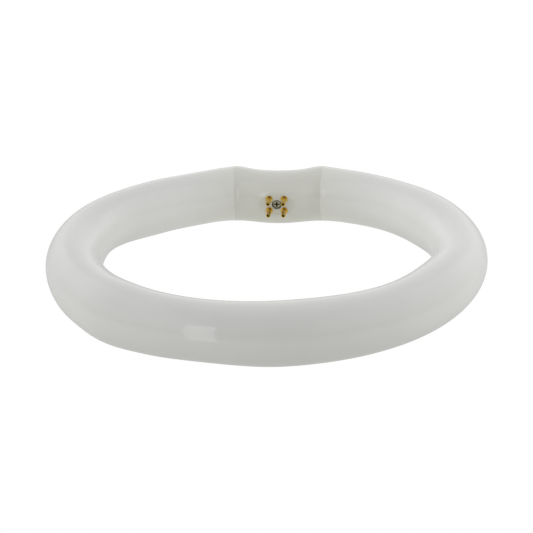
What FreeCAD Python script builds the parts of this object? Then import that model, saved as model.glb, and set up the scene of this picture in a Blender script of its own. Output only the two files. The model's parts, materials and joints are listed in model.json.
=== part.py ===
import FreeCAD
import Part
import Sketcher
import os

# A circular fluorescent tube lying flat on its base's rims.
# The ring's axis is Z, the base lies at +Y and its four pins point to -Y, at the ring's centre.
# Lengths are in millimetres and angles in degrees.

SIZES = {
    # Glass ring and its two closed ends
    "ring_outer_diameter": 212.5,
    "tube_diameter": 28.2,
    "flare_length": 13.0,
    "flare_growth": 0.55,
    "neck_step": 2.6,
    "neck_length": 6.0,
    "neck_rounding": 4.0,
    "tip_diameter": 4.8,
    "tip_length": 3.0,
    "tip_rounding": 1.6,
    # Base sleeve from seam to seam: steps go out from the tube's surface, dips to the ring's centre
    "seam_half_width": 24.0,
    "seam_tilt": 5.0,
    "seam_gap": 0.03,
    "rim_step": 0.55,
    "rim_chamfer": 0.2,
    "shoulder_step": 0.3,
    "waist_dip": 5.5,
    "shoulder_dip": 1.1,
    "bend_dip": 3.5,
    "waist_end_dip": 5.0,
    # Hollow of the base
    "shell_wall": 1.7,
    "cavity_step": 3.6,
    "socket_clearance": 0.25,
    "socket_relief": 0.5,
    # Pin plate
    "pad_cut": 1.3,
    "pad_rounding": 2.5,
    "pin_plate_thickness": 4.8,
    # Contact pins
    "pin_spacing_x": 7.92,
    "pin_spacing_z": 6.35,
    "pin_diameter": 2.38,
    "pin_root_diameter": 2.6,
    "pin_bore": 1.5,
    "pin_length": 8.0,
    "pin_tip_chamfer": 0.3,
    "flange_diameter": 3.7,
    "flange_thickness": 0.7,
    "flange_chamfer": 0.2,
    "collar_diameter": 3.4,
    "collar_thickness": 0.6,
    "pin_hole_clearance": 0.05,
    # Clamp screw and its boss
    "screw_head_diameter": 5.0,
    "screw_head_height": 1.6,
    "screw_head_rounding": 0.9,
    "screw_sink": 1.0,
    "screw_shank_diameter": 2.9,
    "screw_length": 14.0,
    "recess_span": 2.9,
    "recess_slot": 0.75,
    "recess_depth": 0.95,
    "counterbore_clearance": 0.15,
    "shank_clearance": 0.2,
    "thread_clearance": 0.05,
    "boss_diameter": 7.0,
    "boss_gap": 1.2,
    "pilot_extra": 1.5,
    # Lead wires
    "wire_diameter": 0.6,
    "wire_lead_in": 2.0,
    "wire_entry": 3.0,
    "wire_gap": 0.05,
    "wire_recess": 1.5,
}

SIDES = (1, -1)
PIN_CORNERS = [(side, level) for side in SIDES for level in SIDES]
# Share of the flare's length still to go to the seam, and share of its growth already reached
FLARE_SECTIONS = ((1, 0), (0.5, 0.4))
# Points this close together, in millimetres, count as one
SAME_PLACE = 1e-4
UPRIGHT = FreeCAD.Vector(0, 1, 0)
PINS_FORWARD = FreeCAD.Rotation(FreeCAD.Vector(1, 0, 0), 90)
AXIS_ALONG_X = FreeCAD.Rotation(FreeCAD.Vector(1, 1, 1), 120)

# Places worked out from the sizes
RING_RADIUS = "(Sizes.ring_outer_diameter - Sizes.tube_diameter) / 2"
RIM_DIAMETER = "(Sizes.tube_diameter + 2 * Sizes.rim_step)"
SHOULDER_DIAMETER = "(Sizes.tube_diameter + 2 * Sizes.shoulder_step)"
NECK_DIAMETER = "(Sizes.tube_diameter - 2 * Sizes.neck_step)"
CAVITY_DIAMETER = "(Sizes.tube_diameter - 2 * Sizes.cavity_step)"
RING_HEIGHT = f"{RIM_DIAMETER} / 2"
SEAM_ANGLE = f"asin(Sizes.seam_half_width / ({RING_RADIUS}))"
FLARE_ANGLE = f"Sizes.flare_length / ({RING_RADIUS}) * 1rad"
RIM_AXIS_Y = f"sqrt(({RING_RADIUS})^2 - Sizes.seam_half_width^2)"
WAIST_AXIS_Y = f"{RIM_AXIS_Y} - Sizes.waist_dip"
WAIST_BACK_Y = f"{WAIST_AXIS_Y} + Sizes.tube_diameter / 2"
CAVITY_AXIS_Y = f"{WAIST_BACK_Y} - Sizes.shell_wall - {CAVITY_DIAMETER} / 2"
PAD_Y = f"{WAIST_AXIS_Y} - Sizes.tube_diameter / 2 + Sizes.pad_cut"
PLATE_BACK_Y = f"{PAD_Y} + Sizes.pin_plate_thickness"
NECK_END_X = "Sizes.seam_half_width - Sizes.neck_length"
SOCKET_DEPTH = "Sizes.neck_length + Sizes.socket_relief"
SOCKET_RADIUS = f"{NECK_DIAMETER} / 2 + Sizes.socket_clearance"
BOSS_FRONT_Y = f"{PLATE_BACK_Y} + Sizes.boss_gap"
SCREW_HEAD_SEAT = "Sizes.screw_sink + Sizes.screw_head_height"
PIN_X = "Sizes.pin_spacing_x / 2"
PIN_Z = "Sizes.pin_spacing_z / 2"

doc = FreeCAD.newDocument("circular_tube")
sheet = doc.addObject("Spreadsheet::Sheet", "Sizes")
for row, (alias, number) in enumerate(SIZES.items(), start=1):
    sheet.set(f"A{row}", alias)
    sheet.set(f"B{row}", str(number))
    sheet.setAlias(f"B{row}", alias)
doc.recompute()


def value(formula):
    """The number that a formula over the sheet gives now."""
    result = sheet.evalExpression(formula)
    return getattr(result, "Value", result)


def bind(thing, **formulas):
    """Tie properties to formulas, with an underscore in a name standing for a dot."""
    for name, formula in formulas.items():
        thing.setExpression(name.replace("_", "."), formula)


def new_body(label):
    body = doc.addObject("PartDesign::Body", label)
    body.Label = label
    return body


def new_sketch(body, name, role):
    """A sketch on one of its body's own origin planes."""
    sketch = body.newObject("Sketcher::SketchObject", name)
    plane = next(item for item in body.Origin.OriginFeatures if item.Role == role)
    sketch.AttachmentSupport = [(plane, "")]
    sketch.MapMode = "FlatFace"
    return sketch


def constrain(sketch, kind, elements, formula):
    index = sketch.addConstraint(Sketcher.Constraint(kind, *elements, value(formula)))
    sketch.setExpression(f"Constraints[{index}]", formula)


def place_point(sketch, element, point, x, y):
    """Hold one point of a sketch at x, y from the sketch's origin."""
    constrain(sketch, "DistanceX", (-1, 1, element, point), x)
    constrain(sketch, "DistanceY", (-1, 1, element, point), y)


def draw_circle(sketch, diameter, x="0", y="0"):
    centre = FreeCAD.Vector(value(x), value(y), 0)
    circle = Part.Circle(centre, FreeCAD.Vector(0, 0, 1), value(diameter) / 2)
    element = sketch.addGeometry(circle)
    place_point(sketch, element, 3, x, y)
    constrain(sketch, "Diameter", (element,), diameter)


def draw_run(sketch, corners):
    """An open run of straight lines, each corner tied to its two formulas."""
    points = [FreeCAD.Vector(value(x), value(y), 0) for x, y in corners]
    for index, ends in enumerate(zip(points, points[1:])):
        sketch.addGeometry(Part.LineSegment(*ends))
        if index:
            sketch.addConstraint(Sketcher.Constraint("Coincident", index - 1, 2, index, 1))
        place_point(sketch, index, 1, *corners[index])
    return index


def draw_outline(sketch, corners):
    """A closed outline of straight lines, each corner tied to its two formulas."""
    last = draw_run(sketch, [*corners, corners[0]])
    sketch.addConstraint(Sketcher.Constraint("Coincident", last, 2, 0, 1))


def draw_section(body, name, x, y, turn, diameter):
    """A round section across the tube: a circle facing along X, turned about the upright through x, y."""
    sketch = new_sketch(body, name, "YZ_Plane")
    sketch.AttachmentOffset = FreeCAD.Placement(FreeCAD.Vector(), FreeCAD.Rotation(UPRIGHT, 1))
    bind(
        sketch,
        AttachmentOffset_Base_x=y,
        AttachmentOffset_Base_y=RING_HEIGHT,
        AttachmentOffset_Base_z=x,
        AttachmentOffset_Rotation_Angle=turn,
    )
    draw_circle(sketch, diameter)
    return sketch


def loft(body, name, sections):
    feature = body.newObject("PartDesign::AdditiveLoft", name)
    feature.Profile = sections[0]
    feature.Sections = sections[1:]
    return feature


def revolve(body, name, sketch, axis):
    feature = body.newObject("PartDesign::Revolution", name)
    feature.Profile = sketch
    feature.ReferenceAxis = (sketch, [axis])
    feature.Angle = 360
    return feature


def ease_edges(body, name, base, kind, size, wanted):
    """A fillet or chamfer on the edges of a feature that the wanted test picks."""
    doc.recompute()
    edges = [f"Edge{i}" for i, edge in enumerate(base.Shape.Edges, start=1) if wanted(edge)]
    feature = body.newObject(f"PartDesign::{kind}", name)
    feature.Base = (base, edges)
    feature.setExpression("Radius" if kind == "Fillet" else "Size", size)
    return feature


def circle_at(diameter, direction, place):
    """A test for the circle with this diameter whose centre has this place in the x or z direction."""

    def wanted(edge):
        if not isinstance(edge.Curve, Part.Circle):
            return False
        same_size = abs(edge.Curve.Radius - value(diameter) / 2) < SAME_PLACE
        return same_size and abs(getattr(edge.Curve.Center, direction) - value(place)) < SAME_PLACE

    return wanted


def add_box(name, corner, lengths):
    box = doc.addObject("Part::Box", name)
    x, y, z = corner
    length, width, height = lengths
    bind(box, Placement_Base_x=x, Placement_Base_y=y, Placement_Base_z=z)
    bind(box, Length=length, Width=width, Height=height)
    return box


def add_cylinder(name, start, rotation, radius, length):
    cylinder = doc.addObject("Part::Cylinder", name)
    cylinder.Placement = FreeCAD.Placement(FreeCAD.Vector(), rotation)
    x, y, z = start
    bind(cylinder, Placement_Base_x=x, Placement_Base_y=y, Placement_Base_z=z)
    bind(cylinder, Radius=radius, Height=length)
    return cylinder


def combine(kind, name, base, tool):
    result = doc.addObject(f"Part::{kind}", name)
    result.Base = base
    result.Tool = tool
    result.Refine = False
    return result


def fuse(name, pieces):
    result = doc.addObject("Part::MultiFuse", name)
    result.Shapes = pieces
    result.Refine = False
    return result


def glass_tube():
    """The sealed tube as one solid: the ring, a slight flare to each seam and a rounded neck beyond it."""
    body = new_body("glass_tube")
    profile = new_sketch(body, "tube_profile", "YZ_Plane")
    draw_circle(profile, "Sizes.tube_diameter", f"-({RING_RADIUS})", RING_HEIGHT)
    ring = revolve(body, "ring", profile, "V_Axis")
    ring.Midplane = True
    ring.setExpression("Angle", f"360deg - 2 * ({SEAM_ANGLE} + {FLARE_ANGLE})")
    for side in SIDES:
        hand = "right" if side > 0 else "left"
        sections = []
        for to_go, growth in FLARE_SECTIONS:
            angle = f"{side} * ({SEAM_ANGLE} + {to_go} * {FLARE_ANGLE})"
            place = (f"({RING_RADIUS}) * sin({angle})", f"({RING_RADIUS}) * cos({angle})", f"-({angle})")
            diameter = f"Sizes.tube_diameter + {2 * growth} * Sizes.flare_growth"
            sections.append(draw_section(body, f"{hand}_flare_{len(sections)}", *place, diameter))
        shoulder_x = f"{side} * (Sizes.seam_half_width + Sizes.seam_gap)"
        shoulder_turn = f"{-side} * Sizes.seam_tilt"
        shoulder_diameter = "Sizes.tube_diameter + 2 * Sizes.flare_growth"
        sections.append(
            draw_section(body, f"{hand}_shoulder", shoulder_x, RIM_AXIS_Y, shoulder_turn, shoulder_diameter)
        )
        loft(body, f"{hand}_flare", sections)
        neck_end(body, hand, side)
    return body


def neck_end(body, hand, side):
    """The narrow end that the base covers, turned about its own axis, with the sealed exhaust tip."""
    sketch = new_sketch(body, f"{hand}_neck_profile", "XY_Plane")
    bind(sketch, AttachmentOffset_Base_y=RIM_AXIS_Y, AttachmentOffset_Base_z=RING_HEIGHT)
    root_x = f"{side} * (Sizes.seam_half_width + Sizes.flare_length / 2)"
    end_x = f"{side} * ({NECK_END_X})"
    tip_x = f"{side} * ({NECK_END_X} - Sizes.tip_length)"
    neck_radius = f"{NECK_DIAMETER} / 2"
    tip_radius = "Sizes.tip_diameter / 2"
    corners = (
        (root_x, "0"),
        (root_x, neck_radius),
        (end_x, neck_radius),
        (end_x, tip_radius),
        (tip_x, tip_radius),
        (tip_x, "0"),
    )
    draw_outline(sketch, corners)
    neck = revolve(body, f"{hand}_neck", sketch, "H_Axis")
    neck_circle = circle_at(NECK_DIAMETER, "x", end_x)
    end = ease_edges(body, f"{hand}_neck_end", neck, "Fillet", "Sizes.neck_rounding", neck_circle)
    tip_circle = circle_at("Sizes.tip_diameter", "x", tip_x)
    ease_edges(body, f"{hand}_tip_end", end, "Fillet", "Sizes.tip_rounding", tip_circle)


def base_sleeve():
    """The outer form of the base: round sections that dip towards the ring's centre at the waist."""
    body = new_body("sleeve_form")
    quarter = "Sizes.seam_half_width / 4"
    rim = ("Sizes.seam_half_width", "0", "Sizes.seam_tilt", RIM_DIAMETER)
    shoulder = (f"3 * {quarter}", "Sizes.shoulder_dip", "0", SHOULDER_DIAMETER)
    bend = (f"2 * {quarter}", "Sizes.bend_dip", "0", "Sizes.tube_diameter")
    waist_end = (quarter, "Sizes.waist_end_dip", "0", "Sizes.tube_diameter")
    half = (rim, shoulder, bend, waist_end)
    stations = [(1, *station) for station in half]
    stations.append((1, "0", "Sizes.waist_dip", "0", "Sizes.tube_diameter"))
    stations += [(-1, *station) for station in reversed(half)]
    sections = []
    for side, across, dip, tilt, diameter in stations:
        name = f"sleeve_section_{len(sections)}"
        centre_y = f"{RIM_AXIS_Y} - {dip}"
        sections.append(
            draw_section(body, name, f"{side} * {across}", centre_y, f"{-side} * {tilt}", diameter)
        )
    form = loft(body, "sleeve_loft", sections)
    near_rim = value(f"3 * {quarter}")

    def on_rim(edge):
        return min(abs(point.x) for point in edge.discretize(3)) > near_rim

    eased = ease_edges(body, "rim_edges", form, "Chamfer", "Sizes.rim_chamfer", on_rim)
    doc.recompute()
    full_volume = eased.Shape.Volume

    outline = new_sketch(body, "pad_outline", "XZ_Plane")
    outline.setExpression("AttachmentOffset.Base.z", f"-({PAD_Y})")
    side_x = "Sizes.seam_half_width"
    top_z = f"{RING_HEIGHT} + {RIM_DIAMETER}"
    low_z = f"{RING_HEIGHT} - {RIM_DIAMETER}"
    corners = ((side_x, low_z), (side_x, top_z), (f"-{side_x}", top_z), (f"-{side_x}", low_z))
    draw_outline(outline, corners)
    pad = body.newObject("PartDesign::Pocket", "pin_pad")
    pad.Profile = outline
    pad.Type = "ThroughAll"
    pad.Reversed = True
    doc.recompute()
    if pad.Shape.Volume >= full_volume:
        raise RuntimeError("the pin pad cut nothing")
    pad_y = value(PAD_Y)

    def on_pad(edge):
        return all(abs(point.y - pad_y) < SAME_PLACE for point in edge.discretize(3))

    ease_edges(body, "pad_edge", pad, "Fillet", "Sizes.pad_rounding", on_pad)
    return body


def base_shells():
    """The hollow base, parted on the plane through both rims' centres into an inner and an outer shell."""
    sleeve = base_sleeve()
    across = "4 * Sizes.seam_half_width"
    reach = f"2 * {RIM_DIAMETER}"
    left = "-2 * Sizes.seam_half_width"
    low = f"{RING_HEIGHT} - {RIM_DIAMETER}"

    middle_length = f"2 * Sizes.seam_half_width - ({SOCKET_DEPTH})"
    middle_start = (f"-({middle_length}) / 2", CAVITY_AXIS_Y, RING_HEIGHT)
    middle_radius = f"{CAVITY_DIAMETER} / 2"
    middle = add_cylinder("middle_bore", middle_start, AXIS_ALONG_X, middle_radius, middle_length)
    behind_plate = add_box("behind_plate", (left, PLATE_BACK_Y, low), (across, reach, reach))
    hollows = [combine("Common", "middle_hollow", middle, behind_plate)]
    for side in SIDES:
        outer_x = f"{side} * (Sizes.seam_half_width + {RIM_DIAMETER} / 4)"
        inner_x = f"{side} * (Sizes.seam_half_width - ({SOCKET_DEPTH}))"
        start_x = inner_x if side > 0 else outer_x
        depth = f"{side} * ({outer_x} - {inner_x})"
        name = "right_socket" if side > 0 else "left_socket"
        hollows.append(
            add_cylinder(name, (start_x, RIM_AXIS_Y, RING_HEIGHT), AXIS_ALONG_X, SOCKET_RADIUS, depth)
        )
    shell = combine("Cut", "hollow_sleeve", sleeve, fuse("base_hollow", hollows))

    rear_half = add_box("rear_half", (left, RIM_AXIS_Y, low), (across, reach, reach))
    inner_blank = combine("Cut", "inner_blank", shell, rear_half)
    outer_blank = combine("Common", "outer_blank", shell, rear_half)
    inner = combine("Cut", "base_inner_shell", inner_blank, fuse("plate_holes", plate_holes()))

    boss_start = ("0", f"{WAIST_BACK_Y} - Sizes.shell_wall / 2", RING_HEIGHT)
    boss_length = f"{WAIST_BACK_Y} - Sizes.shell_wall / 2 - ({BOSS_FRONT_Y})"
    boss = add_cylinder("screw_boss", boss_start, PINS_FORWARD, "Sizes.boss_diameter / 2", boss_length)
    pilot_end = f"{PAD_Y} + {SCREW_HEAD_SEAT} + Sizes.screw_length + Sizes.pilot_extra"
    pilot_length = f"{pilot_end} - ({PLATE_BACK_Y})"
    pilot_radius = "Sizes.screw_shank_diameter / 2 + Sizes.thread_clearance"
    pilot_start = ("0", pilot_end, RING_HEIGHT)
    pilot = add_cylinder("pilot_hole", pilot_start, PINS_FORWARD, pilot_radius, pilot_length)
    outer = combine("Cut", "base_outer_shell", fuse("outer_with_boss", [outer_blank, boss]), pilot)
    return [inner, outer]


def plate_holes():
    """Cutters for the four pin holes, the screw's clearance hole and the counterbore for its head."""
    through = f"{PLATE_BACK_Y} + Sizes.collar_thickness"
    length = f"{through} - ({PAD_Y}) + Sizes.flange_thickness"
    holes = []
    for side, level in PIN_CORNERS:
        start = (f"{side} * {PIN_X}", through, f"{RING_HEIGHT} + {level} * {PIN_Z}")
        radius = "Sizes.pin_root_diameter / 2 + Sizes.pin_hole_clearance"
        holes.append(add_cylinder("pin_hole", start, PINS_FORWARD, radius, length))
    shank_radius = "Sizes.screw_shank_diameter / 2 + Sizes.shank_clearance"
    holes.append(add_cylinder("shank_hole", ("0", through, RING_HEIGHT), PINS_FORWARD, shank_radius, length))
    head_radius = "Sizes.screw_head_diameter / 2 + Sizes.counterbore_clearance"
    seat = ("0", f"{PAD_Y} + {SCREW_HEAD_SEAT}", RING_HEIGHT)
    head_depth = f"{SCREW_HEAD_SEAT} + Sizes.flange_thickness"
    holes.append(add_cylinder("counterbore", seat, PINS_FORWARD, head_radius, head_depth))
    return holes


def seat_on_pad(body, x="0", z="0"):
    """Stand a turned piece on the pad, with its own Z pointing forward to the ring's centre."""
    body.Placement = FreeCAD.Placement(FreeCAD.Vector(), PINS_FORWARD)
    bind(body, Placement_Base_x=x, Placement_Base_y=PAD_Y, Placement_Base_z=f"{RING_HEIGHT} + {z}")


def contact_pin(number, side, level):
    """A hollow brass pin: flanged on the pad's face and clinched over behind the plate."""
    body = new_body(f"contact_pin_{number}")
    bore = "Sizes.pin_bore / 2"
    root = "Sizes.pin_root_diameter / 2"
    shank = "Sizes.pin_diameter / 2"
    flange = "Sizes.flange_diameter / 2"
    collar = "Sizes.collar_diameter / 2"
    plate_back = "-Sizes.pin_plate_thickness"
    end = "-(Sizes.pin_plate_thickness + Sizes.collar_thickness)"
    corners = (
        (bore, end),
        (collar, end),
        (collar, plate_back),
        (root, plate_back),
        (root, "0"),
        (flange, "0"),
        (flange, "Sizes.flange_thickness - Sizes.flange_chamfer"),
        (f"{flange} - Sizes.flange_chamfer", "Sizes.flange_thickness"),
        (shank, "Sizes.flange_thickness"),
        (shank, "Sizes.pin_length - Sizes.pin_tip_chamfer"),
        (f"{shank} - Sizes.pin_tip_chamfer", "Sizes.pin_length"),
        (bore, "Sizes.pin_length"),
    )
    sketch = new_sketch(body, f"pin_profile_{number}", "XZ_Plane")
    draw_outline(sketch, corners)
    revolve(body, f"pin_turning_{number}", sketch, "V_Axis")
    seat_on_pad(body, f"{side} * {PIN_X}", f"{level} * {PIN_Z}")
    return body


def clamp_screw():
    """The pan-head screw that draws the two shells together, with a cross recess."""
    body = new_body("clamp_screw")
    head = "Sizes.screw_head_diameter / 2"
    shank = "Sizes.screw_shank_diameter / 2"
    top = "-Sizes.screw_sink"
    seat = f"-({SCREW_HEAD_SEAT})"
    end = f"-({SCREW_HEAD_SEAT} + Sizes.screw_length)"
    corners = (("0", top), (head, top), (head, seat), (shank, seat), (shank, end), ("0", end))
    profile = new_sketch(body, "screw_profile", "XZ_Plane")
    draw_outline(profile, corners)
    turned = revolve(body, "screw_turning", profile, "V_Axis")
    head_circle = circle_at("Sizes.screw_head_diameter", "z", top)
    rounded = ease_edges(body, "screw_head", turned, "Fillet", "Sizes.screw_head_rounding", head_circle)
    doc.recompute()
    full_volume = rounded.Shape.Volume

    cross = new_sketch(body, "cross_recess", "XY_Plane")
    cross.setExpression("AttachmentOffset.Base.z", top)
    arm = "Sizes.recess_span / 2"
    slot = "Sizes.recess_slot / 2"
    quadrant = ((arm, slot), (slot, slot), (slot, arm))
    corners = list(quadrant)
    corners += [(f"-{x}", y) for x, y in reversed(quadrant)]
    corners += [(f"-{x}", f"-{y}") for x, y in quadrant]
    corners += [(x, f"-{y}") for x, y in reversed(quadrant)]
    draw_outline(cross, corners)
    recess = body.newObject("PartDesign::Pocket", "recess")
    recess.Profile = cross
    recess.setExpression("Length", "Sizes.recess_depth")
    doc.recompute()
    if recess.Shape.Volume >= full_volume:
        raise RuntimeError("the cross recess cut nothing")
    seat_on_pad(body)
    return body


def lead_wire(number, side, level):
    """A lead from the glass end, slanting across the base and straight down into its pin."""
    body = new_body(f"lead_wire_{number}")
    start_x = f"{side} * ({NECK_END_X} - Sizes.wire_gap)"
    height = f"{RING_HEIGHT} + {level} * {PIN_Z}"
    pin_x = f"{side} * {PIN_X}"
    route = (
        (start_x, RIM_AXIS_Y),
        (f"{start_x} - {side} * Sizes.wire_lead_in", RIM_AXIS_Y),
        (pin_x, f"{PLATE_BACK_Y} + Sizes.collar_thickness + Sizes.wire_entry"),
        (pin_x, f"{PAD_Y} - Sizes.pin_length + Sizes.wire_recess"),
    )
    path = new_sketch(body, f"wire_path_{number}", "XY_Plane")
    path.setExpression("AttachmentOffset.Base.z", height)
    last = draw_run(path, route)
    place_point(path, last, 2, *route[-1])

    section = new_sketch(body, f"wire_section_{number}", "YZ_Plane")
    bind(
        section,
        AttachmentOffset_Base_x=RIM_AXIS_Y,
        AttachmentOffset_Base_y=height,
        AttachmentOffset_Base_z=start_x,
    )
    draw_circle(section, "Sizes.wire_diameter")
    pipe = body.newObject("PartDesign::AdditivePipe", f"wire_{number}")
    pipe.Profile = section
    pipe.Spine = (path, [])
    pipe.Transition = "Right corner"
    return body


def check(pieces):
    """Stop if anything failed to build, before a file is written."""
    failed = [item.Name for item in doc.Objects if {"Invalid", "Error"} & set(item.State)]
    bad = [piece.Label for piece in pieces if piece.Shape.isNull() or not piece.Shape.isValid()]
    several = [piece.Label for piece in pieces if len(piece.Shape.Solids) != 1]
    if failed or bad or several:
        raise RuntimeError(f"failed {failed}, bad shapes {bad}, not one solid {several}")


pieces = [glass_tube(), *base_shells(), clamp_screw()]
for number, (side, level) in enumerate(PIN_CORNERS, start=1):
    pieces.append(contact_pin(number, side, level))
    pieces.append(lead_wire(number, side, level))
doc.recompute()
check(pieces)
os.makedirs("parts", exist_ok=True)
for piece in pieces:
    piece.Shape.exportStep(f"parts/{piece.Label}.step")
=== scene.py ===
import bmesh
import bpy
import json
import math
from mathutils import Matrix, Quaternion, Vector


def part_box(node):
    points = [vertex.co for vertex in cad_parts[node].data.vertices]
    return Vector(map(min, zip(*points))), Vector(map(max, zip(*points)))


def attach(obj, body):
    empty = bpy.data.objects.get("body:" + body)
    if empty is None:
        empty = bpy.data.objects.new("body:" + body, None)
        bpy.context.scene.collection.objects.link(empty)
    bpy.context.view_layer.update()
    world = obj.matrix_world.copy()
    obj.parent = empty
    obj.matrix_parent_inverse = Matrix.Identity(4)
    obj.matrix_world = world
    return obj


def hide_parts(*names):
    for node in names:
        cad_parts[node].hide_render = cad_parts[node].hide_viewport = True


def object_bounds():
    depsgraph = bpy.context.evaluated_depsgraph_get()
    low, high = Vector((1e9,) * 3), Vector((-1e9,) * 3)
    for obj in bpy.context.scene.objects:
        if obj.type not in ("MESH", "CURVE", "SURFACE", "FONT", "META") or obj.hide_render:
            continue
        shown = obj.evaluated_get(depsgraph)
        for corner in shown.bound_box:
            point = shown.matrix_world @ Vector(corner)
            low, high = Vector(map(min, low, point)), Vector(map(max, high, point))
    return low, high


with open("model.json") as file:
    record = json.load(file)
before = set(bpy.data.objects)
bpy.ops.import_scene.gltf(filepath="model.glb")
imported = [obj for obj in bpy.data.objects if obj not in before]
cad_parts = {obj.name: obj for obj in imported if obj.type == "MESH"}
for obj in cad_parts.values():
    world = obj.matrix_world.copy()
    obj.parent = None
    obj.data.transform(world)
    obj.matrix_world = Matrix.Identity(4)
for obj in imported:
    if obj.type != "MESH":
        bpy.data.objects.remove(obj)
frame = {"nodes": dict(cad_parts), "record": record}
cad_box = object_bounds()

# Sizes read from the frame, in metres
glass_low, glass_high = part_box("glass_tube")
RING_HEIGHT = (glass_low.z + glass_high.z) / 2
RING_CENTRE = Vector((0.0, 0.0, RING_HEIGHT))
RIM_RADIUS = (glass_high.z - glass_low.z) / 2
SCREW_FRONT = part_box("clamp_screw")[0].y

# Glass tube, in metres, with the sizes of the solid that it stands for; the powers shape its flared ends
TUBE_RADIUS = 0.0141
RING_RADIUS = glass_high.x - TUBE_RADIUS
SEAM_X = 0.02403
SEAM_Y = math.sqrt(RING_RADIUS**2 - SEAM_X**2)
SEAM_TILT = math.radians(5.0)
FLARE_LENGTH = 0.013
FLARE_TURN_POWER = 3
FLARE_WIDTH_POWER = 1.5
NECK_RADIUS = 0.0115
NECK_END_X = 0.018
NECK_ROUNDING = 0.004
TIP_RADIUS = 0.0024
TIP_END_X = 0.015
TIP_ROUNDING = 0.0016

# Thin lip of the glass's ends that half fills the groove beside the base's rims
LIP_REACH = 0.00013
LIP_DROP = 0.00003
LIP_DEPTH = 0.00017

# Uneven bends of the glass: middle and half length in degrees from the base, clockwise from above,
# then how far each goes outward, upward and in the tube's radius, in millimetres
BENDS = {
    "right_rear": (42, 22, 0.0, 0.1, -0.4),
    "right_side": (89, 36, 0.7, -0.2, -1.1),
    "right_front": (138, 30, 0.3, -0.5, -0.4),
    "front_pinch": (192, 22, -0.3, 0.4, -0.6),
    "left_knuckle": (221, 13, 0.6, 0.0, 0.5),
    "left_side": (256, 24, 0.0, 0.9, -0.6),
    "left_rear": (290, 28, 1.4, 1.2, -0.9),
    "left_end": (329, 13, 0.0, -0.4, -0.1),
}
MILLIMETRES_PER_METRE = 1000

# Fineness of the glass's mesh, and the angle from which its edges are sharp
RING_STEPS = 330
SECTION_POINTS = 64
ROUNDING_STEPS = 5
SHARP_EDGE = math.radians(35.0)

# Distances from the base's centre at which the powder is at its yellowest and has lost its yellow
BASE_CENTRE = (0.0, SEAM_Y, RING_HEIGHT)
YELLOW_FULL = 0.026
YELLOW_GONE = 0.050

# Cross recess in the screw's head, where painted shade with some grime darkens it between two depths and
# ends between two radii
RECESS_TOP = (0.0, SCREW_FRONT, RING_HEIGHT)
RECESS_DEPTHS = (0.0001, 0.0005)
RECESS_RADII = (0.0016, 0.0019)

# Camera: its place as seen from the ring's centre, its image in pixels and its sensor in millimetres
CAMERA_DISTANCE = 0.700
CAMERA_AZIMUTH = math.radians(5.1)
CAMERA_ELEVATION = math.radians(21.6)
CAMERA_ROLL = math.radians(-1.6)
IMAGE_SIZE = 533
FOCAL_PIXELS = 1448.0
CENTRE_ABOVE_MIDDLE = 12.3
SENSOR_WIDTH = 36.0

# A camera's or light's own axes
ACROSS_VIEW = (1.0, 0.0, 0.0)
ALONG_VIEW = (0.0, 0.0, 1.0)

# Light tent: radiance by direction, where white paper on the screen is 1. Matt surfaces and reflections
# get different amounts, and a reflection shows a dim room in front and a bright backdrop behind.
MATT_TENT = {"start": -1.0, "front": 0.37, "back": 0.355}
MATT_SIDES = {"left": 1.42, "right": 0.74}
SIDE_POWER = 2.0
GLOSS_TENT = {"start": 0.0, "front": 0.1, "back": 1.14}
GLOSS_FLOOR = {"start": -1.0, "front": 0.75, "back": 0.6}
GLOSS_PANELS = {"left": 0.37, "right": 0.375}

# Where the reflected side panels and the horizon fade, as parts of a direction of length 1
PANEL_EDGE = (0.35, 0.5)
PANEL_FOOT = (0.1, 0.4)
HORIZON_BLUR = 0.15

# Floor, with the light that it gives to matt surfaces; the camera sees it and the backdrop as white
MATT_FLOOR = {"front": 0.53, "middle": 0.503, "back": 0.784}
FLOOR_TINT = (1.0, 1.0, 0.955)
FLOOR_HALF_WIDTH = 3.0
PLAIN_WHITE = (1.0, 1.0, 1.0)
BACKDROP_WHITE = 1.0

# Soft lights that show in no reflection, each with its place, width and power
MATT_LIGHTS = {
    "overhead": ((0.0, 0.0, 0.12), 0.1, 0.014),
    "right_fill": ((0.4, 0.0, 0.12), 0.2, 0.255),
}

# Softbox to the left of the camera, as seen from the ring's centre
SOFTBOX_AZIMUTH = math.radians(-28.0)
SOFTBOX_ELEVATION = math.radians(13.0)
SOFTBOX_LEAN = math.radians(5.0)
SOFTBOX_DISTANCE = 1.2
SOFTBOX_SIZE = (0.24, 1.05)
SOFTBOX_POWER = 1.08


# Shader nodes


def new_material(name):
    """A node material and its Principled shader."""
    material = bpy.data.materials.new(name)
    material.use_nodes = True
    return material, material.node_tree.nodes["Principled BSDF"]


def fill_inputs(tree, node, inputs):
    """Give each input of a node its plain amount, or link it to another node's output."""
    for socket, content in inputs.items():
        if isinstance(content, bpy.types.NodeSocket):
            tree.links.new(content, node.inputs[socket])
        else:
            node.inputs[socket].default_value = content


def add_node(tree, kind, inputs=None, **settings):
    """A new node with these inputs and settings."""
    node = tree.nodes.new(kind)
    for key, setting in settings.items():
        setattr(node, key, setting)
    fill_inputs(tree, node, inputs or {})
    return node


def maths(tree, operation, *amounts):
    """The result of an operation on amounts, each plain or from another node."""
    node = add_node(tree, "ShaderNodeMath", dict(enumerate(amounts)), operation=operation)
    return node.outputs["Value"]


def ramp(tree, amount, start=0.0, end=1.0, low=0.0, high=1.0, shape="LINEAR"):
    """Goes from low to high as an amount goes from start to end, and stays level outside them."""
    span = {"Value": amount, "From Min": start, "From Max": end, "To Min": low, "To Max": high}
    return add_node(tree, "ShaderNodeMapRange", span, interpolation_type=shape).outputs["Result"]


def soft_rise(tree, amount, start, end):
    """0 until an amount reaches the start and 1 from the end on, with a soft change between."""
    return ramp(tree, amount, start, end, shape="SMOOTHSTEP")


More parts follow.
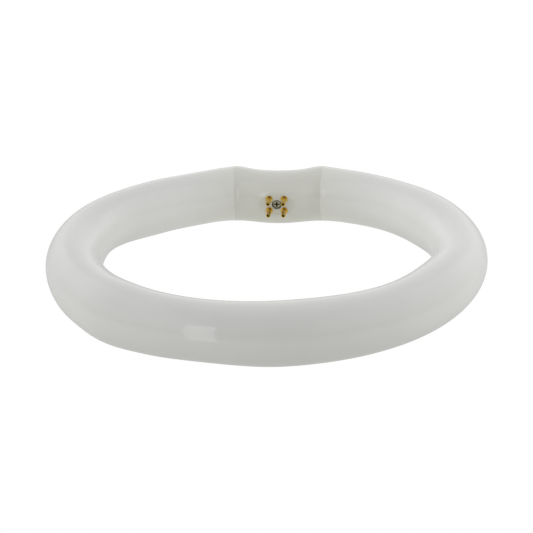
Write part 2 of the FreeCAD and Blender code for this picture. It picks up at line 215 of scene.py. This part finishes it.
def blend(tree, factor, first, second):
    """A mix of two amounts, each plain or from another node."""
    mix = {"Factor": factor, "A": first, "B": second}
    return add_node(tree, "ShaderNodeMix", mix).outputs["Result"]


def opaque(colour):
    """A plain colour made fully opaque; one from another node stays as it is."""
    return colour if isinstance(colour, bpy.types.NodeSocket) else (*colour, 1.0)


def blend_colours(tree, factor, first, second):
    """A mix of two colours, each plain or from another node."""
    mix = {"Factor": factor, "A": opaque(first), "B": opaque(second)}
    return add_node(tree, "ShaderNodeMix", mix, data_type="RGBA").outputs["Result"]


def place_of(tree, space="Object"):
    """Each point's place in its object, or in the space Generated each direction of the world."""
    return add_node(tree, "ShaderNodeTexCoord").outputs[space]


def axes_of(tree, place):
    """The outputs X, Y and Z of a place or direction."""
    return add_node(tree, "ShaderNodeSeparateXYZ", {"Vector": place}).outputs


def noise(tree, scale, detail=3.0, stretch=(1.0, 1.0, 1.0)):
    """Noise over the object's own coordinates, in features per metre."""
    mapping = add_node(tree, "ShaderNodeMapping", {"Vector": place_of(tree), "Scale": stretch})
    grain = {"Vector": mapping.outputs["Vector"], "Scale": scale, "Detail": detail}
    return add_node(tree, "ShaderNodeTexNoise", grain).outputs["Fac"]


def closeness(tree, point, near, far):
    """1 up to the near distance from a point, falling to 0 at the far one."""
    ends = {0: place_of(tree), 1: point}
    gap = add_node(tree, "ShaderNodeVectorMath", ends, operation="DISTANCE").outputs["Value"]
    return ramp(tree, gap, start=near, end=far, low=1.0, high=0.0)


def bump(tree, height, distance, strength):
    """The surface's direction with small bumps, whose greatest height is a distance in metres."""
    relief = {"Height": height, "Distance": distance, "Strength": strength}
    return add_node(tree, "ShaderNodeBump", relief).outputs["Normal"]


# Materials


def coated_glass():
    """White powder seen through clear glass: a matt ground under a sharp clear coat with faint ripples.

    The powder is a little yellower near the electrodes at both ends.
    """
    material, shader = new_material("coated_glass_look")
    tree = material.node_tree
    thin_powder = (0.80, 0.80, 0.784)
    thick_powder = (0.84, 0.84, 0.823)
    yellow_powder = (0.817, 0.822, 0.765)
    white = blend_colours(tree, noise(tree, scale=60.0), thin_powder, thick_powder)
    near_base = closeness(tree, BASE_CENTRE, YELLOW_FULL, YELLOW_GONE)
    grain = noise(tree, scale=2500.0)
    ripples = noise(tree, scale=45.0, detail=1.0)
    look = {
        "Base Color": blend_colours(tree, near_base, white, yellow_powder),
        "Roughness": ramp(tree, grain, low=0.5, high=0.7),
        "Specular IOR Level": 0.0,
        "Coat Weight": 1.0,
        "Coat Roughness": 0.025,
        "Coat IOR": 1.5,
        "Coat Normal": bump(tree, ripples, distance=0.0004, strength=0.35),
    }
    fill_inputs(tree, shader, look)
    return material


def base_plastic():
    """Glossy moulded plastic, a little warmer than the glass, with a fine grain."""
    material, shader = new_material("base_plastic_look")
    tree = material.node_tree
    dull_ivory = (0.730, 0.733, 0.672)
    pale_ivory = (0.765, 0.768, 0.706)
    grain = noise(tree, scale=1800.0)
    look = {
        "Base Color": blend_colours(tree, noise(tree, scale=90.0), dull_ivory, pale_ivory),
        "Roughness": ramp(tree, grain, low=0.05, high=0.11),
        "IOR": 1.55,
        "Normal": bump(tree, grain, distance=0.00002, strength=0.15),
    }
    fill_inputs(tree, shader, look)
    return material


def turned_brass():
    """Bright brass with fine turning lines round each pin and a little tarnish."""
    material, shader = new_material("pin_brass_look")
    tree = material.node_tree
    tarnished_brass = (0.66, 0.41, 0.05)
    bright_brass = (0.84, 0.58, 0.09)
    lines = noise(tree, scale=900.0, stretch=(1.0, 12.0, 1.0))
    look = {
        "Base Color": blend_colours(tree, noise(tree, scale=700.0), tarnished_brass, bright_brass),
        "Metallic": 1.0,
        "Roughness": ramp(tree, lines, low=0.18, high=0.34),
        "Normal": bump(tree, lines, distance=0.00003, strength=0.3),
    }
    fill_inputs(tree, shader, look)
    return material


def plated_steel():
    """Dull zinc-plated steel for the screw, with painted shade and some grime deep in its cross recess.
    """
    material, shader = new_material("screw_steel_look")
    tree = material.node_tree
    stained_zinc = (0.25, 0.24, 0.165)
    clean_zinc = (0.56, 0.54, 0.39)
    # Near-black colour painted into the cross recess: painted shade where the hollow is shadowed, with
    # some grime
    recess_shade_and_grime = (0.02, 0.018, 0.012)
    stain = noise(tree, scale=900.0)
    plating = blend_colours(tree, stain, stained_zinc, clean_zinc)
    depth = axes_of(tree, place_of(tree))["Y"]
    deep = soft_rise(tree, depth, *(SCREW_FRONT + recess_depth for recess_depth in RECESS_DEPTHS))
    # Mask of the painted recess shade: deeper than the head's face and close to its centre
    in_recess = maths(tree, "MULTIPLY", deep, closeness(tree, RECESS_TOP, *RECESS_RADII))
    look = {
        "Base Color": blend_colours(tree, in_recess, plating, recess_shade_and_grime),
        "Metallic": 1.0,
        "Roughness": ramp(tree, stain, low=0.22, high=0.42),
        "Normal": bump(tree, stain, distance=0.00004, strength=0.4),
    }
    fill_inputs(tree, shader, look)
    return material


def drawn_wire():
    """Bare lead wire with fine draw lines along it."""
    material, shader = new_material("lead_metal_look")
    tree = material.node_tree
    dull_metal = (0.48, 0.44, 0.36)
    bright_metal = (0.62, 0.58, 0.5)
    lines = noise(tree, scale=1500.0, stretch=(1.0, 0.1, 1.0))
    look = {
        "Base Color": blend_colours(tree, lines, dull_metal, bright_metal),
        "Metallic": 1.0,
        "Roughness": ramp(tree, lines, low=0.3, high=0.45),
    }
    fill_inputs(tree, shader, look)
    return material


def dress_nodes(looks):
    """Give every solid the look of its material slot in the record."""
    for subpart in frame["record"]["subparts"]:
        node = frame["nodes"][subpart["node"]]
        for slot in node.material_slots:
            slot.material = looks[subpart["material_slot"]]


# Glass ring


def section(centre, turn, radius):
    """A circle of points across the tube, turned about the upright through its centre."""
    x, y, z = centre
    points = []
    for step in range(SECTION_POINTS):
        angle = 2 * math.pi * step / SECTION_POINTS
        out = radius * math.cos(angle)
        up = radius * math.sin(angle)
        points.append((x + out * math.sin(turn), y + out * math.cos(turn), z + up))
    return points


def uneven(angle):
    """How far the glass strays outward, upward and in its radius at this angle, in metres."""
    strays = [0.0, 0.0, 0.0]
    for middle, half, *sizes in BENDS.values():
        along = (math.degrees(angle) - middle) / half
        if abs(along) < 1:
            swell = (1 + math.cos(math.pi * along)) / 2
            strays = [total + swell * size / MILLIMETRES_PER_METRE for total, size in zip(strays, sizes)]
    return strays


def ring_sections():
    """The bent glass from the right seam round to the left one, flaring to meet the base's rims."""
    seam = math.asin(SEAM_X / RING_RADIUS)
    sections = []
    for step in range(RING_STEPS + 1):
        angle = seam + 2 * (math.pi - seam) * step / RING_STEPS
        out, up, wider = uneven(angle)
        side = 1 if angle < math.pi else -1
        to_seam = (min(angle, 2 * math.pi - angle) - seam) * RING_RADIUS
        flare = max(0.0, 1 - to_seam / FLARE_LENGTH)
        reach = RING_RADIUS + out
        centre = (reach * math.sin(angle), reach * math.cos(angle), RING_HEIGHT + up)
        turn = angle - side * (seam - SEAM_TILT) * flare**FLARE_TURN_POWER
        radius = TUBE_RADIUS + wider + (RIM_RADIUS - TUBE_RADIUS) * flare**FLARE_WIDTH_POWER
        sections.append(section(centre, turn, radius))
    return sections


def rounded_end(end_x, radius, rounding):
    """Places along X and radii of an end's rounded edge."""
    edge = []
    for step in range(ROUNDING_STEPS + 1):
        angle = math.pi / 2 * step / ROUNDING_STEPS
        x = end_x + rounding * (1 - math.sin(angle))
        edge.append((x, radius - rounding * (1 - math.cos(angle))))
    return edge


def neck_sections(side):
    """The lip at the seam and the narrow end inside the base, to the sealed tip."""
    lip_x = side * (SEAM_X - LIP_REACH * math.cos(SEAM_TILT))
    lip_y = SEAM_Y + LIP_REACH * math.sin(SEAM_TILT)
    sections = [section((lip_x, lip_y, RING_HEIGHT), side * SEAM_TILT, RIM_RADIUS - LIP_DROP)]
    for radius in (RIM_RADIUS - LIP_DEPTH, NECK_RADIUS):
        sections.append(section((side * SEAM_X, SEAM_Y, RING_HEIGHT), side * SEAM_TILT, radius))
    profile = rounded_end(NECK_END_X, NECK_RADIUS, NECK_ROUNDING)
    profile.append((NECK_END_X, TIP_RADIUS))
    profile += rounded_end(TIP_END_X, TIP_RADIUS, TIP_ROUNDING)
    for x, radius in profile:
        sections.append(section((side * x, SEAM_Y, RING_HEIGHT), 0.0, radius))
    return sections


def skin_over(name, sections):
    """A closed mesh over sections in a row, smooth except at sharp edges."""
    form = bmesh.new()
    rings = [[form.verts.new(point) for point in points] for points in sections]
    for first, second in zip(rings, rings[1:]):
        for step in range(SECTION_POINTS):
            after = (step + 1) % SECTION_POINTS
            form.faces.new((first[step], first[after], second[after], second[step]))
    form.faces.new(rings[0])
    form.faces.new(rings[-1])
    bmesh.ops.recalc_face_normals(form, faces=form.faces)
    for face in form.faces:
        face.smooth = True
    for edge in form.edges:
        edge.smooth = edge.calc_face_angle() < SHARP_EDGE
    mesh = bpy.data.meshes.new(name)
    form.to_mesh(mesh)
    form.free()
    return mesh


def add_glass_ring(look):
    """The glass as the photo shows it, a ring bent a little unevenly."""
    sections = [*reversed(neck_sections(1)), *ring_sections(), *neck_sections(-1)]
    mesh = skin_over("bent_glass_ring", sections)
    mesh.materials.append(look)
    ring = bpy.data.objects.new("bent_glass_ring", mesh)
    bpy.context.scene.collection.objects.link(ring)
    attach(ring, "root")
    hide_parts("glass_tube")


# Floor and light tent


def unless_seen(tree, glow):
    """The glow of a stage surface for the light it gives, and plain white where the camera sees it."""
    seen = add_node(tree, "ShaderNodeLightPath").outputs["Is Camera Ray"]
    return blend(tree, seen, glow, BACKDROP_WHITE)


def floor_glow(tree, along, front, middle, back):
    """Radiance of the floor from the ring's front to its back, by way of its middle."""
    near_glow = ramp(tree, along, start=glass_low.y, end=0.0, low=front, high=middle)
    far_glow = ramp(tree, along, start=0.0, end=glass_high.y, low=0.0, high=back - middle)
    return maths(tree, "ADD", near_glow, far_glow)


def floor_paper():
    """Paper that gives a warm light, most at the back, and looks plain white to the camera."""
    material, shader = new_material("floor_paper")
    tree = material.node_tree
    tree.nodes.remove(shader)
    depth = axes_of(tree, place_of(tree))["Y"]
    seen = add_node(tree, "ShaderNodeLightPath").outputs["Is Camera Ray"]
    glow = {
        "Color": blend_colours(tree, seen, FLOOR_TINT, PLAIN_WHITE),
        "Strength": unless_seen(tree, floor_glow(tree, depth, **MATT_FLOOR)),
    }
    emission = add_node(tree, "ShaderNodeEmission", glow).outputs["Emission"]
    fill_inputs(tree, tree.nodes["Material Output"], {"Surface": emission})
    return material


def add_floor():
    """A wide pale floor under the ring, which shows in no reflection."""
    half = FLOOR_HALF_WIDTH
    corners = [(x * half, y * half, cad_box[0].z) for x, y in ((-1, -1), (1, -1), (1, 1), (-1, 1))]
    mesh = bpy.data.meshes.new("floor")
    mesh.from_pydata(corners, [], [(0, 1, 2, 3)])
    mesh.materials.append(floor_paper())
    floor = bpy.data.objects.new("floor", mesh)
    bpy.context.scene.collection.objects.link(floor)
    floor.visible_glossy = False


def along_depth(tree, axes, start, front, back):
    """Radiance that is the front amount up to the start of Y and the back amount straight behind."""
    return ramp(tree, axes["Y"], start=start, low=front, high=back)


def add_sides(tree, axes, glow, left, right):
    """A glow with more towards each side."""
    for sign, side in ((-1.0, left), (1.0, right)):
        towards = maths(tree, "MAXIMUM", maths(tree, "MULTIPLY", axes["X"], sign), 0.0)
        glow = maths(tree, "MULTIPLY_ADD", maths(tree, "POWER", towards, SIDE_POWER), side, glow)
    return glow


def add_panels(tree, axes, glow, left, right):
    """A glow with a lit panel on each side, whose edges and foot are soft."""
    above = soft_rise(tree, axes["Z"], *PANEL_FOOT)
    for sign, side in ((-1.0, left), (1.0, right)):
        beyond = soft_rise(tree, maths(tree, "MULTIPLY", axes["X"], sign), *PANEL_EDGE)
        glow = maths(tree, "MULTIPLY_ADD", maths(tree, "MULTIPLY", above, beyond), side, glow)
    return glow


def add_tent():
    """Soft studio light from all round."""
    world = bpy.data.worlds.new("light_tent")
    world.use_nodes = True
    bpy.context.scene.world = world
    tree = world.node_tree
    axes = axes_of(tree, place_of(tree, "Generated"))
    above = ramp(tree, axes["Z"], start=-HORIZON_BLUR, end=HORIZON_BLUR)
    lower_gloss = along_depth(tree, axes, **GLOSS_FLOOR)
    upper_gloss = along_depth(tree, axes, **GLOSS_TENT)
    gloss = add_panels(tree, axes, blend(tree, above, lower_gloss, upper_gloss), **GLOSS_PANELS)
    matt = add_sides(tree, axes, along_depth(tree, axes, **MATT_TENT), **MATT_SIDES)
    reflected = add_node(tree, "ShaderNodeLightPath").outputs["Is Glossy Ray"]
    glow = unless_seen(tree, blend(tree, reflected, matt, gloss))
    fill_inputs(tree, tree.nodes["Background"], {"Color": opaque(PLAIN_WHITE), "Strength": glow})


# Lights and camera


def direction(azimuth, elevation):
    """The way from the ring's centre, with the azimuth counted from the front to the right."""
    level = math.cos(elevation)
    return Vector((math.sin(azimuth) * level, -math.cos(azimuth) * level, math.sin(elevation)))


def place_and_aim(item, place, facing, *turns):
    """Put a light or camera into the scene at a place, facing a way and then turned in itself."""
    rotation = facing.to_track_quat("-Z", "Y")
    for turn in turns:
        rotation = rotation @ turn
    item.location = place
    item.rotation_mode = "QUATERNION"
    item.rotation_quaternion = rotation
    bpy.context.scene.collection.objects.link(item)


def new_area_light(name, shape, power):
    """An area light that the camera doesn't see."""
    data = bpy.data.lights.new(name, "AREA")
    data.shape = shape
    data.energy = power
    light = bpy.data.objects.new(name, data)
    light.visible_camera = False
    return light


def add_matt_light(name, place, width, power):
    """A soft round light that faces the ring's centre and shows in no reflection."""
    light = new_area_light(name, "DISK", power)
    light.data.size = width
    light.visible_glossy = False
    place_and_aim(light, place, RING_CENTRE - Vector(place))


def add_softbox():
    """A tall softbox beside the camera, which shows only as a reflection in the gloss."""
    light = new_area_light("softbox", "RECTANGLE", SOFTBOX_POWER)
    light.data.size, light.data.size_y = SOFTBOX_SIZE
    light.visible_diffuse = False
    outward = direction(SOFTBOX_AZIMUTH, SOFTBOX_ELEVATION)
    lean = Quaternion(ALONG_VIEW, SOFTBOX_LEAN)
    place_and_aim(light, RING_CENTRE + outward * SOFTBOX_DISTANCE, -outward, lean)


def add_camera():
    """The camera at the photo's viewing angle, with the ring's centre above the picture's middle."""
    data = bpy.data.cameras.new("camera")
    data.sensor_width = SENSOR_WIDTH
    data.lens = FOCAL_PIXELS / IMAGE_SIZE * SENSOR_WIDTH
    camera = bpy.data.objects.new("camera", data)
    outward = direction(CAMERA_AZIMUTH, CAMERA_ELEVATION)
    tilt = Quaternion(ACROSS_VIEW, -math.atan(CENTRE_ABOVE_MIDDLE / FOCAL_PIXELS))
    roll = Quaternion(ALONG_VIEW, CAMERA_ROLL)
    place_and_aim(camera, RING_CENTRE + outward * CAMERA_DISTANCE, -outward, tilt, roll)
    bpy.context.scene.camera = camera


looks = {
    "coated_glass": coated_glass(),
    "base_plastic": base_plastic(),
    "pin_brass": turned_brass(),
    "screw_steel": plated_steel(),
    "lead_metal": drawn_wire(),
}
dress_nodes(looks)
add_glass_ring(looks["coated_glass"])
add_floor()
add_tent()
for name, (place, width, power) in MATT_LIGHTS.items():
    add_matt_light(name, place, width, power)
add_softbox()
add_camera()
bpy.context.scene.view_settings.view_transform = "Standard"
